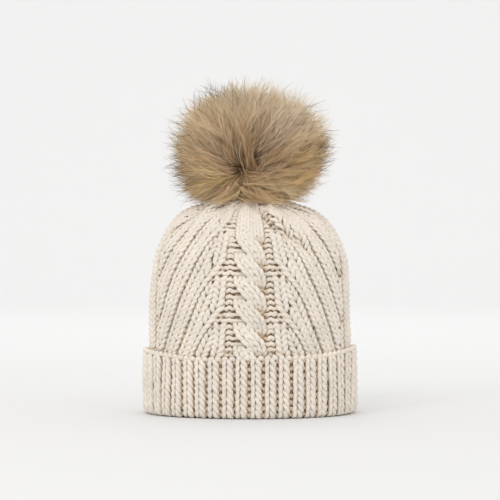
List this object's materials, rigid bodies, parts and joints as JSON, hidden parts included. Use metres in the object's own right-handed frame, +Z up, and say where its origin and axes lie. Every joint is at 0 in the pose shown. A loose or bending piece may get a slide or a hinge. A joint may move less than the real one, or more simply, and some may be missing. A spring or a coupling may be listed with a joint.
{
  "type": "pom pom beanie",
  "caption": "Chunky cable-knit beanie with a turned-up ribbed cuff and a detachable round faux-fur pompom on a snap.",
  "frame": {"origin": "middle of the brim's footprint, at the height of the turned-up fold", "axes": "+Z up through the crown and the pompom, +Y towards the back seam, the front faces -Y"},
  "size_m": [0.17, 0.1446, 0.2645],
  "materials": {
    "cream_yarn": "soft worsted knit",
    "seam_yarn": "matte yarn",
    "woven_label": "blank woven satin",
    "felt": "pressed felt",
    "snap_metal": "antique brass plate",
    "spring_wire": "drawn wire",
    "tan_fur": "long faux-fur pile with dark tips",
    "fibre_filling": "loose polyester fibre"
  },
  "bodies": {
    "hat": {"knit_crown": "cream_yarn", "brim_inner_band": "cream_yarn", "back_seam_yarn": "seam_yarn", "care_label": "woven_label", "crown_gather_yarn": "seam_yarn", "crown_felt_patch": "felt", "snap_stud_cap": "snap_metal", "snap_stud": "snap_metal"},
    "cuff": {"turned_up_cuff": "cream_yarn"},
    "snap_spring": {"snap_ring_spring": "spring_wire"},
    "snap_socket": {"snap_socket": "snap_metal", "pompom_base_disc": "felt", "snap_socket_cap": "snap_metal"},
    "pompom": {"pompom_fur": "tan_fur", "pompom_filling": "fibre_filling", "pompom_gather_thread": "seam_yarn"}
  },
  "joints": [
    {"name": "cuff_turn_down", "type": "slide", "parent": "hat", "child": "cuff", "axis": [0, 0, -1], "range_m": [0, 0.048]},
    {"name": "snap_pull_off", "type": "slide", "parent": "hat", "child": "snap_spring", "axis": [0, 0, 1], "range_m": [0, 0.012]},
    {"name": "snap_turn", "type": "hinge", "parent": "snap_spring", "child": "snap_socket", "pos_m": [0, 0, 0.1715], "axis": [0, 0, 1], "continuous": true},
    {"name": "pompom_lean", "type": "hinge", "parent": "snap_socket", "child": "pompom", "pos_m": [0, 0, 0.1715], "axis": [0, 1, 0], "range_deg": [-20, 20], "stiffness_Nm_per_rad": 0.2}
  ]
}
